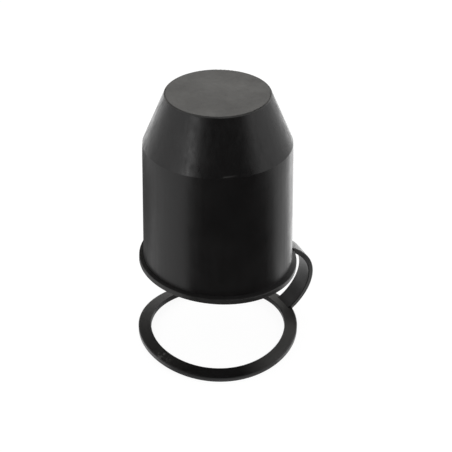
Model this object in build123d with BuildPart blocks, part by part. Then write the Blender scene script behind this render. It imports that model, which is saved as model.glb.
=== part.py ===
from build123d import *
import os
from math import cos, hypot, radians, sin, sqrt, tan

# Tow ball cover, moulded in one piece of soft black plastic.
# A tapered cap pushes down over the ball and a thick rim stiffens its mouth. From the rim a flat
# band curls down to a loop that stays round the neck under the ball, so the cap can't get lost.
# +Z runs up the cap's axis, the origin is the middle of the mouth, and the front faces -Y.

# Cap, from the ball outwards
ball_diameter = 50.0
ball_clearance = 0.3
mouth_wall = 3.1
wall_draft = 1.3
shoulder_wall = 1.8
cone_wall = 2.3
top_wall = 2.6
shoulder_height = 51.5
shoulder_ease = 5.5
cap_height = 70.8
top_diameter = 37.8
shoulder_edge_round = 0.6
top_edge_round = 0.7
inner_shoulder_round = 8.0
bore_lead_in = 1.0

# Rim round the mouth, which the band pulls a few degrees askew. Its top falls towards its edge.
rim_overhang = 1.7
rim_edge_height = 2.05
rim_top_fall = 0.6
rim_edge_round = 0.3
rim_foot_chamfer = 0.2
rim_lean = 3.5
rim_lean_azimuth = 20.0

# Band from the rim to the loop. It bulges out as far as its two run-outs carry it, and its sides
# slant because the loop is turned a little against the cap.
band_azimuth = 23.4
band_skew = 6.0
band_width = 8.95
band_thickness = 2.0
band_root_height = 3.05
band_dip = 24.3
band_rim_run = 21.0
band_loop_root = 1.8
band_loop_run = 7.8
band_loop_rise = 35.0

# Loop, a flat ring that slips over the ball and sags a little across its fold line
loop_clearance = 1.4
loop_width = 5.0
loop_thickness = 2.2
loop_drop = 29.9
loop_sag_radius = 185.0
loop_fold_azimuth = 10.0

# Broken edges of the band and the loop
strip_chamfer = 0.3

# Stock below the mouth that the leaning mouth plane trims away
trim_stock = 2.0

# Cap sizes that follow
bore_radius = ball_diameter / 2 + ball_clearance
mouth_radius = bore_radius + mouth_wall
shoulder_radius = bore_radius + shoulder_wall
top_radius = top_diameter / 2
rim_radius = mouth_radius + rim_overhang
draft_slope = tan(radians(wall_draft))
cone_run = shoulder_radius - top_radius
cone_rise = cap_height - shoulder_height

# The drafted wall eases inwards over its last stretch below the shoulder's crease
ease_height = shoulder_height - shoulder_ease
ease_radius = mouth_radius - ease_height * draft_slope

# The mouth plane leans down towards the band
upward = Vector(0, 0, 1)
lean_way = Vector(cos(radians(rim_lean_azimuth)), sin(radians(rim_lean_azimuth)), 0)
mouth = Plane(
    origin=(0, 0, 0),
    x_dir=lean_way * cos(radians(rim_lean)) - upward * sin(radians(rim_lean)),
    z_dir=lean_way * sin(radians(rim_lean)) + upward * cos(radians(rim_lean)),
)
rim_slope = tan(radians(rim_lean))
rim_root_radius = mouth_radius - mouth_wall / 2
rim_root_height = rim_edge_height + rim_top_fall * (rim_radius - rim_root_radius) / rim_overhang
rim_plane = Plane(origin=mouth.origin, x_dir=mouth.x_dir, z_dir=-mouth.y_dir)
stock_depth = rim_radius * rim_slope + trim_stock
stock_radius = mouth_radius + stock_depth * draft_slope

# Inside of the cap: a straight bore for the ball, then a cone inside the outer one
cone_wall_across = cone_wall * hypot(cone_run, cone_rise) / cone_rise
bore_end = shoulder_height + (shoulder_radius - cone_wall_across - bore_radius) * cone_rise / cone_run
ceiling = cap_height - top_wall
ceiling_radius = bore_radius - (ceiling - bore_end) * cone_run / cone_rise

# Loop: a ring cut from sheet that bends round a wide cylinder
loop_inner_radius = ball_diameter / 2 + loop_clearance
loop_outer_radius = loop_inner_radius + loop_width
loop_crest = -loop_drop
sag_plane = Plane(
    origin=(0, 0, loop_crest - loop_sag_radius),
    x_dir=(-sin(radians(loop_fold_azimuth)), cos(radians(loop_fold_azimuth)), 0),
    z_dir=(cos(radians(loop_fold_azimuth)), sin(radians(loop_fold_azimuth)), 0),
)
loop_sag = loop_sag_radius - sqrt(loop_sag_radius**2 - loop_outer_radius**2)
loop_depth = loop_sag + loop_thickness

with BuildPart() as loop:
    with BuildSketch(sag_plane):
        Circle(loop_sag_radius)
        Circle(loop_sag_radius - loop_thickness, mode=Mode.SUBTRACT)
    extrude(amount=loop_outer_radius + trim_stock, both=True)
    with BuildSketch(Plane.XY.offset(loop_crest - loop_depth - trim_stock)):
        Circle(loop_outer_radius)
        Circle(loop_inner_radius, mode=Mode.SUBTRACT)
    extrude(amount=loop_depth + 2 * trim_stock, mode=Mode.INTERSECT)
    chamfer(loop.edges(), strip_chamfer)

# Band: a strip that leaves the rim dipping, swings out and down, and turns back in under the cap
# until it runs down into the loop. Its profile lies in a plane that leans sideways by the skew.
outward = Vector(cos(radians(band_azimuth)), sin(radians(band_azimuth)), 0)
sideways = upward.cross(outward)
skew = radians(band_skew)
band_middle = loop_crest / 2
band_plane = Plane(
    origin=(0, 0, band_middle),
    x_dir=outward,
    z_dir=-(sideways * cos(skew) + upward * sin(skew)),
)

# The band's end in the wall behind the rim, and its end in the loop's sagging sheet
rim_end = rim_root_radius
rim_end_height = band_root_height - rim_end * rim_slope
loop_end = loop_outer_radius - band_loop_root
loop_turn = radians(band_azimuth - loop_fold_azimuth)
fold_distance = loop_end * sin(loop_turn) - band_middle * tan(skew) * cos(loop_turn)
loop_end_height = (
    loop_crest
    - loop_sag_radius
    + sqrt(loop_sag_radius**2 - fold_distance**2)
    - loop_thickness / 2
)
rim_end_up = (rim_end_height - band_middle) / cos(skew)
loop_end_up = (loop_end_height - band_middle) / cos(skew)
dip = radians(rim_lean + band_dip)
rise = radians(band_loop_rise)
loop_arm = band_loop_root + band_loop_run

with BuildPart() as band:
    with BuildSketch(band_plane):
        with BuildLine():
            Bezier(
                (rim_end, rim_end_up),
                (rim_end + band_rim_run * cos(dip), rim_end_up - band_rim_run * sin(dip)),
                (loop_end + loop_arm * cos(rise), loop_end_up + loop_arm * sin(rise)),
                (loop_end, loop_end_up),
            )
        trace(line_width=band_thickness)
    extrude(amount=band_width / 2, dir=sideways, both=True)
    band_sides = band.faces().filter_by(lambda face: abs(face.normal_at().dot(band_plane.z_dir)) > 0.99)
    chamfer(band_sides.edges().filter_by(lambda edge: edge.length > 2 * band_thickness), strip_chamfer)

with BuildPart() as cover:
    # Outside of the cap, with stock below the mouth
    with BuildSketch(Plane.XZ) as cap_outline:
        with BuildLine():
            Polyline(
                (shoulder_radius, shoulder_height),
                (top_radius, cap_height),
                (0, cap_height),
                (0, -stock_depth),
                (stock_radius, -stock_depth),
                (ease_radius, ease_height),
            )
            TangentArc(
                (ease_radius, ease_height),
                (shoulder_radius, shoulder_height),
                tangent=(-draft_slope, 1),
            )
        make_face()
        fillet(cap_outline.vertices().group_by(Axis.Y)[-2], shoulder_edge_round)
        fillet(cap_outline.vertices().group_by(Axis.Y)[-1].sort_by(Axis.X)[-1], top_edge_round)
    revolve(axis=Axis.Z)
    split(bisect_by=mouth, keep=Keep.TOP)

    # Rim, turned about the leaning mouth's own axis
    with BuildSketch(rim_plane) as rim_section:
        with BuildLine():
            Polyline(
                (0, 0),
                (rim_radius, 0),
                (rim_radius, rim_edge_height),
                (rim_root_radius, rim_root_height),
                (0, rim_root_height),
                close=True,
            )
        make_face()
        fillet(rim_section.vertices().group_by(Axis.X)[-1].sort_by(Axis.Y)[-1], rim_edge_round)
        chamfer(rim_section.vertices().sort_by(Axis.Y)[:2].sort_by(Axis.X)[-1], rim_foot_chamfer)
    revolve(axis=Axis(mouth.origin, mouth.z_dir))

    # Inside of the cap
    with BuildSketch(Plane.XZ) as bore_outline:
        with BuildLine():
            Polyline(
                (0, -stock_depth),
                (bore_radius, -stock_depth),
                (bore_radius, bore_end),
                (ceiling_radius, ceiling),
                (0, ceiling),
                close=True,
            )
        make_face()
        fillet(bore_outline.vertices().group_by(Axis.X)[-1].sort_by(Axis.Y)[-1], inner_shoulder_round)
    revolve(axis=Axis.Z, mode=Mode.SUBTRACT)
    mouth_face = cover.faces().filter_by(GeomType.PLANE).sort_by(Axis.Z)[0]
    chamfer(mouth_face.inner_wires()[0].edges(), bore_lead_in)

    add(band.part)
    add(loop.part)

cover.part.label = "tow_ball_cover"

os.makedirs("parts", exist_ok=True)
export_step(cover.part, "parts/tow_ball_cover.step")
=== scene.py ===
from itertools import repeat
from math import cos, radians, sin

import bpy
from mathutils import Matrix, Vector


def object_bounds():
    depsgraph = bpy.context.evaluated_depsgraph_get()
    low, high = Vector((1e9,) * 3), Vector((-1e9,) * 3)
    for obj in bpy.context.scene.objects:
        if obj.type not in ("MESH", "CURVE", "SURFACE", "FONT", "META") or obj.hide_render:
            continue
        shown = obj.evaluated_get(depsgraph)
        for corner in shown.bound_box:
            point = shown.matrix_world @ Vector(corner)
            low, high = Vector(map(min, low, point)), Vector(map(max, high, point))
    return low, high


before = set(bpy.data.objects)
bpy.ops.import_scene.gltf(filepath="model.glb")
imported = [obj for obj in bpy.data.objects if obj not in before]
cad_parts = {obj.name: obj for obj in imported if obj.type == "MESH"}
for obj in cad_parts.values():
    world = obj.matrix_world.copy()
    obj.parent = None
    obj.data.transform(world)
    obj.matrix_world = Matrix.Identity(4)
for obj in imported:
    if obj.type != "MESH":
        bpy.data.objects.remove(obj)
cad_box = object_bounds()

# Tow ball cover: one moulding in satin black soft plastic, standing on its loop on a white sweep.
# The frame's origin is the middle of the cap's mouth, +Z up, and the front faces -Y. Lengths are in
# metres, and azimuths in degrees round the cap's axis, from +X towards +Y.

# Camera, as the photograph was taken
frame_px = 452
focal_px = 1170.0
sensor_width_mm = 36.0
camera_pitch = 32.81
camera_roll = 0.266
camera_near = 0.01
mouth_depth = 0.44807
mouth_px = (217.85, 259.09)

# Heights of the moulding
floor_height = cad_box[0].z
top_height = cad_box[1].z
shoulder_height, shoulder_blend = 0.0515, 0.001

# The top's rounded edge, painted paler as a highlight, and palest away from its front
top_edge_low, top_edge_high = top_height - 0.0011, top_height - 0.0007
top_edge_front, top_edge_side = -0.0105, -0.0045
edge_share, edge_side_share = 0.6, 0.9

# The nick of flash on the front of the shoulder's crease, which rises a little to the right, with a glint
# painted pale along it
nick_left, nick_right = 0.0016, 0.0078
nick_height, nick_rise = shoulder_height + 0.0004, 0.0004
nick_core, nick_fade = 0.0001, 0.00035
nick_behind, nick_front = -0.01, -0.02
nick_share = 0.42

# Scuffs on the loop's front left, and a painted reflection on its front right
scuff_place, scuff_reach, scuff_core = (-0.0205, -0.0210, -0.0315), 0.0048, 0.00144
loop_reflection_place, loop_reflection_reach, loop_reflection_core = (0.0270, -0.0155, -0.0310), 0.0230, 0.0092
loop_reflection_share = (0.55, 1.0)

# The rim's edge, painted paler as a highlight where it catches light
rim_edge_radius, rim_edge_blend = 0.0299, 0.0002
rim_lowest, rim_low_blend = -0.004, 0.001
rim_share = (0.12, 0.30)

# Colours of the plastic, of its scuffs and painted highlights, and of dust
deep_black = (0.0066, 0.0059, 0.0061, 1.0)
soft_black = (0.0093, 0.0085, 0.0087, 1.0)
scuff_and_highlight_grey = (0.060, 0.059, 0.057, 1.0)
top_edge_sheen_grey = (0.120, 0.117, 0.112, 1.0)
dust_grey, dust_share = (0.11, 0.105, 0.095, 1.0), 0.5

# Gloss of the plastic. Drag marks are deepest on the cone, lighter on the wall and faint on the top.
plastic_roughness = (0.32, 0.40)
drag_roughness, wall_drag, top_drag = (-0.08, 0.08), 0.55, 0.2
mark_roughness = 0.2
drag_stretch = (1.0, 1.0, 0.04)

# Relief of the plastic
grain_strength, grain_depth = 0.12, 0.00006
wavy_strength, wavy_depth = 0.13, 0.0006

# Patterns per metre, and the spans of a noise that count
grain_scale, wavy_scale, mottle_scale, drag_scale = 2600.0, 110.0, 70.0, 650.0
speck_scale, patch_scale, scuff_scale = 520.0, 160.0, 900.0
noise_span, wide_noise_span = (0.3, 0.7), (0.2, 0.8)

# White sweep under the cover: as light meets it, and as it is seen
sweep_half = 1.5
sweep_pale = (0.80, 0.80, 0.79, 1.0)
sweep_shade, sweep_glow = (0.14, 0.14, 0.14, 1.0), 0.925
studio_fill, studio_white = 0.7, 1.0

# Studio cards, which show only in the gloss. They bend round the cap's axis, through rows of points
# that run outwards on the floor and up where they stand or hang. A level of 1 is white.
arc_steps = 24
card_height = floor_height + 0.0004

# Black card in front, from just beyond the loop, which keeps the front dark between two lit sides
front_radii, front_end_radii = (0.062, 0.085, 0.16, 0.7, 0.7), (0.050, 0.085, 0.16, 0.7, 0.7)
front_starts = (-127.0, -129.0, -132.0, -126.0, -126.0)
front_ends = (-2.0, -6.0, 2.0, -32.0, -32.0)
front_heights = (card_height, card_height, card_height, card_height, 0.55)
front_level = 0.02

# Dark grey card on the floor behind on the left, and a black one that hangs further off
left_floor_radii, left_floor_starts, left_floor_end = (0.069, 0.17), (104.0, 102.0), 162.0
left_floor_level = 0.20
left_radius, left_heights = 0.40, (0.05, 0.17, 0.20, 0.24, 0.42)
left_starts = (99.5, 99.5, 99.5, 104.0, 104.0)
left_ends = (144.0, 144.0, 166.0, 168.0, 168.0)
left_level = 0.05

# Low grey card standing behind on the left, which the band mirrors under the cap
left_low_radius, left_low_heights = 0.108, (card_height, 0.010)
left_low_start, left_low_end = 116.0, 152.0
left_low_level = 0.12

# White card on the floor beyond it, which the cone's left edge mirrors
left_white_radii = (0.125, 0.165, 0.175, 0.20, 0.38)
left_white_start, left_white_ends = 86.0, (98.0, 101.0, 118.0, 136.0, 142.0)
left_white_level = 2.3

# White card on the floor close behind on the left, which the wall's left edge mirrors low down
left_near_radii, left_near_starts, left_near_ends = (0.058, 0.090), (78.0, 80.0), (100.0, 98.0)
left_near_level = 3.5

# Pale grey card to the left, on the floor and standing at its far edge
side_radii, side_heights = (0.045, 0.50, 0.50), (card_height, card_height, 0.17)
side_starts, side_ends = (162.0, 150.0, 150.0), (231.0, 227.0, 190.0)
side_level = 0.72

# White strip on the floor close to the loop's left
loop_side_radii, loop_side_start, loop_side_end = (0.033, 0.044), 178.0, 220.0
loop_side_level = 1.4

# White card on the floor behind on the right
right_radii, right_starts, right_end = (0.055, 0.16, 0.30), (29.5, 36.0, 44.0), 80.0
right_level = 2.45

# White card on the floor close to the cap's right
right_near_radii, right_near_starts, right_near_ends = (0.050, 0.070), (0.0, -3.0), (24.0, 27.0)
right_near_level = 1.35

# Pale grey card to the right, on the floor and standing at its far edge
right_grey_radii = (0.072, 0.16, 0.50, 0.50)
right_grey_starts, right_grey_ends = (6.0, 4.0, -20.0, -20.0), (30.0, 35.0, 44.0, 40.0)
right_grey_heights = (card_height, card_height, card_height, 0.15)
right_grey_level = 0.80

# Grey strip on the floor close to the loop's front, and a dark disc inside the loop
loop_front_radii, loop_front_start, loop_front_end = (0.0325, 0.0500), -128.0, -40.0
loop_front_level = 0.45
loop_disc_radii, loop_disc_start, loop_disc_end = (0.0005, 0.0255), 0.0, 360.0
loop_disc_level = 0.22

# Dark card hanging behind on the right
right_back_radius, right_back_heights = 0.40, (0.18, 0.45)
right_back_start, right_back_end = 46.0, 76.0
right_back_level = 0.05

# Two flat black cards side by side behind, which the loop and its joint with the band mirror
back_distance, back_left, back_right, back_low, back_high = 0.15, -0.095, 0.034, 0.055, 0.105
joint_right, joint_low = 0.060, 0.02
back_level = 0.03

# Ceiling, black overhead and dark grey towards the back
ceiling_height, ceiling_half, ceiling_break, ceiling_back = 0.8, 1.1, 0.35, 1.0
ceiling_level, back_ceiling_level = 0.05, 0.1

# Soft lamps: where each stands and what it faces, its width and height, its watts and its tint
plain_white = (1.0, 1.0, 1.0)
warm_white = (1.0, 0.965, 0.88)
top_box_place, top_box_aim = (0.0, 0.1, 0.75), (0.0, 0.0, 0.0)
top_box_size, top_box_watts = (0.6, 0.5), 0.5
back_box_place, back_box_aim = (-0.22, 1.5, 0.98), (0.0, 0.0, 0.05)
back_box_size, back_box_watts = (1.6, 0.45), 3.12
left_strip_place, left_strip_aim = (-0.44, -0.48, 0.10), (0.0, 0.0, 0.06)
left_strip_size, left_strip_watts = (0.13, 0.35), 0.30

# Layout of the nodes in a material's tree
node_spacing = 220
nodes_in_row = 8


def feed(tree, value, socket):
    """Links a socket to another node's output, or gives it a plain value."""
    if isinstance(value, bpy.types.NodeSocket):
        tree.links.new(value, socket)
    else:
        socket.default_value = value


def add_node(tree, kind, **settings):
    """A new node, set out in rows, whose settings go to its own properties or else feed its inputs."""
    row, column = divmod(len(tree.nodes), nodes_in_row)
    node = tree.nodes.new(kind)
    node.location = (column * node_spacing, -row * node_spacing)
    for name, value in settings.items():
        if hasattr(node, name):
            setattr(node, name, value)
        else:
            feed(tree, value, node.inputs[name.replace("_", " ")])
    return node


def noise(tree, place, scale, detail=3.0, roughness=0.55):
    node = add_node(
        tree, "ShaderNodeTexNoise", Vector=place, Scale=scale, Detail=detail, Roughness=roughness
    )
    return node.outputs["Fac"]


def remap(tree, value, span, onto=(0.0, 1.0), curve="LINEAR"):
    """The value carried from one span onto another, and held at its ends."""
    node = add_node(
        tree,
        "ShaderNodeMapRange",
        interpolation_type=curve,
        Value=value,
        From_Min=span[0],
        From_Max=span[1],
        To_Min=onto[0],
        To_Max=onto[1],
    )
    return node.outputs["Result"]


def fade(tree, value, none, full, most=1.0):
    """A mask that grows softly from 0 where the value is none to most where it is full."""
    return remap(tree, value, (none, full), (0.0, most), curve="SMOOTHSTEP")


def combine(tree, operation, first, *others):
    """One value from several, taken in turn through a maths node."""
    for other in others:
        node = add_node(tree, "ShaderNodeMath", operation=operation)
        feed(tree, first, node.inputs[0])
        feed(tree, other, node.inputs[1])
        first = node.outputs["Value"]
    return first


def split(tree, vector):
    return add_node(tree, "ShaderNodeSeparateXYZ", Vector=vector).outputs


def distance(tree, place, point):
    node = add_node(tree, "ShaderNodeVectorMath", operation="DISTANCE")
    feed(tree, place, node.inputs[0])
    feed(tree, point, node.inputs[1])
    return node.outputs["Value"]


def paint(tree, mask, under, over):
    """The colour under, with the plain colour over laid on by the mask."""
    node = add_node(tree, "ShaderNodeMix", data_type="RGBA", Factor=mask, A=under, B=over)
    return node.outputs["Result"]


def new_material(name):
    material = bpy.data.materials.new(name)
    material.use_nodes = True
    material.node_tree.nodes.clear()
    return material, material.node_tree


def dust_specks(tree, place, facing_up):
    """Specks of dust that lie in patches where the face looks up."""
    cells = add_node(tree, "ShaderNodeTexVoronoi", Vector=place, Scale=speck_scale)
    specks = fade(tree, cells.outputs["Distance"], none=0.16, full=0.05)
    patches = fade(tree, noise(tree, place, patch_scale), none=0.56, full=0.68)
    return combine(tree, "MULTIPLY", specks, patches, facing_up)


def top_edge_painted_highlight(tree, spot, upward):
    """The rounded edge of the top, between the flat and the cone, where a highlight is painted."""
    off_cone = fade(tree, upward, none=0.42, full=0.58)
    off_flat = fade(tree, upward, none=0.99, full=0.90)
    at_top = fade(tree, spot["Z"], none=top_edge_low, full=top_edge_high)
    return combine(tree, "MULTIPLY", off_cone, off_flat, at_top)


def flash_nick_glint(tree, spot):
    """The nick of flash on the crease, painted pale as a glint, which starts sharply on the left and thins
    out to the right.
    """
    along = remap(tree, spot["X"], (nick_left, nick_right))
    starts = fade(tree, along, none=0.0, full=0.15)
    thins = fade(tree, along, none=1.0, full=0.3)
    in_front = remap(tree, spot["Y"], (nick_behind, nick_front))
    line = remap(tree, along, (0.0, 1.0), (nick_height, nick_height + nick_rise))
    off_line = combine(tree, "ABSOLUTE", combine(tree, "SUBTRACT", spot["Z"], line), 0.0)
    on_line = fade(tree, off_line, none=nick_fade, full=nick_core)
    return combine(tree, "MULTIPLY", starts, thins, in_front, on_line)


def loop_scuffs(tree, place):
    """Small scuffs on the front left of the loop."""
    near = fade(tree, distance(tree, place, scuff_place), none=scuff_reach, full=scuff_core)
    grit = fade(tree, noise(tree, place, scuff_scale, detail=1.0), none=0.52, full=0.62)
    return combine(tree, "MULTIPLY", near, grit)


def painted_loop_reflection(tree, place, facing_up, mottle):
    """A painted reflection on the front right of the loop, strongest on its upward faces."""
    near = fade(tree, distance(tree, place, loop_reflection_place), none=loop_reflection_reach, full=loop_reflection_core)
    uneven = remap(tree, mottle, wide_noise_span, loop_reflection_share)
    return combine(tree, "MULTIPLY", near, facing_up, uneven)


def painted_rim_highlight(tree, spot, mottle):
    """The edge of the rim, painted paler as a highlight where it catches light."""
    flat = add_node(tree, "ShaderNodeCombineXYZ", X=spot["X"], Y=spot["Y"])
    from_axis = distance(tree, flat.outputs["Vector"], (0.0, 0.0, 0.0))
    on_edge = fade(tree, from_axis, none=rim_edge_radius - rim_edge_blend, full=rim_edge_radius)
    above_loop = fade(tree, spot["Z"], none=rim_lowest, full=rim_lowest + rim_low_blend)
    uneven = remap(tree, mottle, noise_span, rim_share)
    return combine(tree, "MULTIPLY", on_edge, above_loop, uneven)


def drag_marks(tree, place, spot, facing_up):
    """What the marks that the mould dragged down the sides add to the roughness."""
    stretched = add_node(tree, "ShaderNodeMapping", Vector=place, Scale=drag_stretch)
    drag = noise(tree, stretched.outputs["Vector"], drag_scale)
    shoulder = (shoulder_height - shoulder_blend, shoulder_height + shoulder_blend)
    on_sides = remap(tree, spot["Z"], shoulder, (wall_drag, 1.0))
    off_top = remap(tree, facing_up, (0.0, 1.0), (1.0, top_drag))
    return combine(
        tree,
        "MULTIPLY",
        remap(tree, drag, noise_span, drag_roughness),
        combine(tree, "MULTIPLY", on_sides, off_top),
    )


def soft_black_plastic():
    """Satin black moulding: fine mould grain, a slow waviness, drag marks, scuffs and dust of use, and
    highlights painted on the top's edge, the rim's edge, the loop's front right and a nick.
    """
    material, tree = new_material("soft_black_plastic")
    place = add_node(tree, "ShaderNodeTexCoord").outputs["Object"]
    face = add_node(tree, "ShaderNodeNewGeometry").outputs["Normal"]
    spot = split(tree, place)
    upward = split(tree, face)["Z"]
    facing_up = fade(tree, upward, none=0.35, full=0.95)
    mottle = noise(tree, place, mottle_scale, detail=5.0, roughness=0.65)

    # Painted highlight on the top's rounded edge, palest at its sides
    edge_highlight = top_edge_painted_highlight(tree, spot, upward)
    # Marks: highlights painted on the top's edge, the rim's edge, the loop's front right and the nick, with
    # real scuffs on the loop
    marks = combine(
        tree,
        "MAXIMUM",
        combine(tree, "MULTIPLY", edge_highlight, edge_share),
        painted_rim_highlight(tree, spot, mottle),
        painted_loop_reflection(tree, place, facing_up, mottle),
        combine(tree, "MULTIPLY", flash_nick_glint(tree, spot), nick_share),
        loop_scuffs(tree, place),
    )

    # Colour: mottled black, then dust, scuffs and painted highlights, and the painted highlight on the
    # top's edge, palest at its sides
    colour = paint(tree, remap(tree, mottle, noise_span), deep_black, soft_black)
    dust = combine(tree, "MULTIPLY", dust_specks(tree, place, facing_up), dust_share)
    colour = paint(tree, dust, colour, dust_grey)
    colour = paint(tree, marks, colour, scuff_and_highlight_grey)
    at_sides = fade(tree, spot["Y"], none=top_edge_front, full=top_edge_side, most=edge_side_share)
    colour = paint(tree, combine(tree, "MULTIPLY", edge_highlight, at_sides), colour, top_edge_sheen_grey)

    # Gloss: satin, streaked by the drag marks and duller on the scuffs and the painted highlights
    roughness = combine(
        tree,
        "ADD",
        remap(tree, mottle, noise_span, plastic_roughness),
        drag_marks(tree, place, spot, facing_up),
        combine(tree, "MULTIPLY", marks, mark_roughness),
    )

    # Relief: mould grain on a slow waviness
    grain = add_node(
        tree,
        "ShaderNodeBump",
        Strength=grain_strength,
        Distance=grain_depth,
        Height=noise(tree, place, grain_scale, detail=2.0, roughness=0.6),
    )
    relief = add_node(
        tree,
        "ShaderNodeBump",
        Strength=wavy_strength,
        Distance=wavy_depth,
        Height=noise(tree, place, wavy_scale, detail=2.0),
        Normal=grain.outputs["Normal"],
    )

    plastic = add_node(
        tree,
        "ShaderNodeBsdfPrincipled",
        Base_Color=colour,
        Roughness=roughness,
        Normal=relief.outputs["Normal"],
    )
    add_node(tree, "ShaderNodeOutputMaterial", Surface=plastic.outputs["BSDF"])
    return material


def seen_directly(tree):
    """1 for what the camera sees, straight or in a gloss, and 0 for light on its way to a matt surface."""
    path = add_node(tree, "ShaderNodeLightPath").outputs
    return combine(
        tree, "MAXIMUM", path["Is Camera Ray"], path["Is Glossy Ray"], path["Is Transmission Ray"]
    )


def white_sweep():
    """Pale floor that shows white, straight or in a gloss, and still takes the object's shadow."""
    material, tree = new_material("white_sweep")
    lit = add_node(tree, "ShaderNodeBsdfDiffuse", Color=sweep_pale)
    shaded = add_node(tree, "ShaderNodeBsdfDiffuse", Color=sweep_shade)
    glow = add_node(tree, "ShaderNodeEmission", Strength=sweep_glow)
    white = add_node(tree, "ShaderNodeAddShader")
    feed(tree, shaded.outputs["BSDF"], white.inputs[0])
    feed(tree, glow.outputs["Emission"], white.inputs[1])
    sweep = add_node(tree, "ShaderNodeMixShader", Fac=seen_directly(tree))
    feed(tree, lit.outputs["BSDF"], sweep.inputs[1])
    feed(tree, white.outputs["Shader"], sweep.inputs[2])
    add_node(tree, "ShaderNodeOutputMaterial", Surface=sweep.outputs["Shader"])
    return material


def studio_white_all_round():
    """White to the camera and in the gloss, and a soft fill on matt faces."""
    world = bpy.data.worlds.new("studio")
    world.use_nodes = True
    tree = world.node_tree
    tree.nodes.clear()
    strength = remap(tree, seen_directly(tree), (0.0, 1.0), (studio_fill, studio_white))
    background = add_node(tree, "ShaderNodeBackground", Color=(*plain_white, 1.0), Strength=strength)
    add_node(tree, "ShaderNodeOutputWorld", Surface=background.outputs["Background"])
    return world


def card_paper(name, level):
    """Paper of a studio card that shows in the gloss at that level, where 1 is white."""
    material, tree = new_material(name)
    paper = add_node(tree, "ShaderNodeEmission", Strength=level)
    add_node(tree, "ShaderNodeOutputMaterial", Surface=paper.outputs["Emission"])
    return material


def stage_piece(name, points, faces, material):
    mesh = bpy.data.meshes.new(name)
    mesh.from_pydata(points, [], faces)
    mesh.materials.append(material)
    piece = bpy.data.objects.new(name, mesh)
    bpy.context.scene.collection.objects.link(piece)
    return piece


def card(name, rows, level):
    """A card through rows of points, which shows only in the gloss of the moulding."""
    across = len(rows[0])
    points = [point for row in rows for point in row]
    corners = [across * row + step for row in range(len(rows) - 1) for step in range(across - 1)]
    faces = [(corner, corner + 1, corner + across + 1, corner + across) for corner in corners]
    piece = stage_piece(name, points, faces, card_paper(name + "_paper", level))
    piece.visible_camera = False
    piece.visible_diffuse = False
    piece.visible_shadow = False
    return piece


def arc(radius, start, end, height, end_radius):
    """Points round the cap's axis between two azimuths, from one radius to the other."""
    points = []
    for step in range(arc_steps + 1):
        share = step / arc_steps
        turn = radians(start + (end - start) * share)
        reach = radius + (end_radius - radius) * share
        points.append((reach * cos(turn), reach * sin(turn), height))
    return points


def arcs(radii, starts, ends, heights=card_height, end_radii=None):
    """Rows of points for a card, an arc each. A plain number holds for every row."""
    if end_radii is None:
        end_radii = radii
    columns = [
        column if isinstance(column, tuple) else repeat(column)
        for column in (radii, starts, ends, heights, end_radii)
    ]
    return [arc(*row) for row in zip(*columns)]


def upright(left, right, low, high):
    """Rows of points for a flat card that stands behind the cover."""
    return [[(left, back_distance, height), (right, back_distance, height)] for height in (low, high)]


def overhead(front, back):
    """Rows of points for a flat card under the ceiling."""
    return [
        [(-ceiling_half, depth, ceiling_height), (ceiling_half, depth, ceiling_height)]
        for depth in (front, back)
    ]


def softbox(name, place, aim, size, watts, tint=plain_white):
    """A soft lamp of that size and tint, facing aim."""
    lamp = bpy.data.lights.new(name, "AREA")
    lamp.color = tint
    lamp.shape = "RECTANGLE"
    lamp.size, lamp.size_y = size
    lamp.energy = watts
    box = bpy.data.objects.new(name, lamp)
    box.location = place
    box.rotation_euler = (Vector(aim) - Vector(place)).to_track_quat("-Z", "Y").to_euler()
    box.visible_camera = False
    bpy.context.scene.collection.objects.link(box)
    return box


def photo_camera():
    """A camera that looks along +Y and down, with the mouth's middle on its own pixel of the photograph."""
    pitch = radians(camera_pitch)
    right = Vector((1.0, 0.0, 0.0))
    ahead = Vector((0.0, cos(pitch), -sin(pitch)))
    over = Vector((0.0, sin(pitch), cos(pitch)))
    roll = Matrix.Rotation(radians(camera_roll), 3, "Z")
    turned = Matrix((right, over, -ahead)).transposed() @ roll
    metres_per_px = mouth_depth / focal_px
    mouth_in_view = Vector((
        (mouth_px[0] - frame_px / 2) * metres_per_px,
        -(mouth_px[1] - frame_px / 2) * metres_per_px,
        -mouth_depth,
    ))
    lens = bpy.data.cameras.new("photo_lens")
    lens.sensor_width = sensor_width_mm
    lens.lens = sensor_width_mm * focal_px / frame_px
    lens.clip_start = camera_near
    camera = bpy.data.objects.new("photo_camera", lens)
    camera.matrix_world = Matrix.Translation(-(turned @ mouth_in_view)) @ turned.to_4x4()
    bpy.context.scene.collection.objects.link(camera)
    return camera


# The moulding itself
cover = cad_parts["tow_ball_cover"]
cover.data.materials.clear()
cover.data.materials.append(soft_black_plastic())

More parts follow.
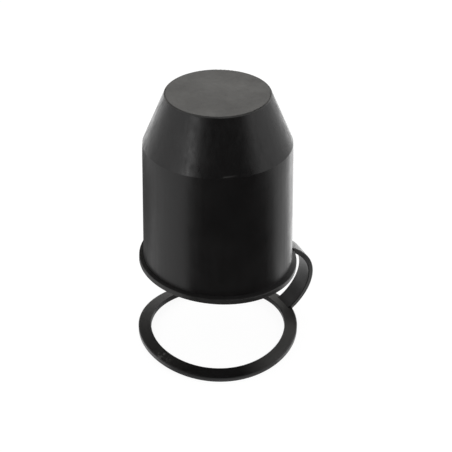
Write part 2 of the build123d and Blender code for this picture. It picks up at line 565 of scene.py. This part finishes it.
# White sweep under it
stage_piece(
    "sweep",
    [
        (-sweep_half, -sweep_half, floor_height),
        (sweep_half, -sweep_half, floor_height),
        (sweep_half, sweep_half, floor_height),
        (-sweep_half, sweep_half, floor_height),
    ],
    [(0, 1, 2, 3)],
    white_sweep(),
)

# Cards on the floor round the cover, some of which stand up
card("front_card", arcs(front_radii, front_starts, front_ends, front_heights, front_end_radii), front_level)
card("left_floor_card", arcs(left_floor_radii, left_floor_starts, left_floor_end), left_floor_level)
card("left_card", arcs(left_radius, left_starts, left_ends, left_heights), left_level)
card("left_low_card", arcs(left_low_radius, left_low_start, left_low_end, left_low_heights), left_low_level)
card("left_white_card", arcs(left_white_radii, left_white_start, left_white_ends), left_white_level)
card("left_near_card", arcs(left_near_radii, left_near_starts, left_near_ends), left_near_level)
card("side_card", arcs(side_radii, side_starts, side_ends, side_heights), side_level)
card("loop_side_card", arcs(loop_side_radii, loop_side_start, loop_side_end), loop_side_level)
card("right_card", arcs(right_radii, right_starts, right_end), right_level)
card("right_near_card", arcs(right_near_radii, right_near_starts, right_near_ends), right_near_level)
card(
    "right_grey_card",
    arcs(right_grey_radii, right_grey_starts, right_grey_ends, right_grey_heights),
    right_grey_level,
)
card("loop_front_card", arcs(loop_front_radii, loop_front_start, loop_front_end), loop_front_level)
card("loop_card", arcs(loop_disc_radii, loop_disc_start, loop_disc_end), loop_disc_level)

# Cards behind and overhead
card(
    "right_back_card",
    arcs(right_back_radius, right_back_start, right_back_end, right_back_heights),
    right_back_level,
)
card("back_card", upright(back_left, back_right, back_low, back_high), back_level)
card("joint_card", upright(back_right, joint_right, joint_low, back_high), back_level)
card("ceiling_card", overhead(-ceiling_half, ceiling_break), ceiling_level)
card("back_ceiling_card", overhead(ceiling_break, ceiling_back), back_ceiling_level)

# Lamps, studio and camera
softbox("top_box", top_box_place, top_box_aim, top_box_size, top_box_watts)
softbox("back_box", back_box_place, back_box_aim, back_box_size, back_box_watts, warm_white)
softbox("left_strip", left_strip_place, left_strip_aim, left_strip_size, left_strip_watts)
bpy.context.scene.world = studio_white_all_round()
bpy.context.scene.camera = photo_camera()

bpy.context.scene.view_settings.view_transform = "Standard"
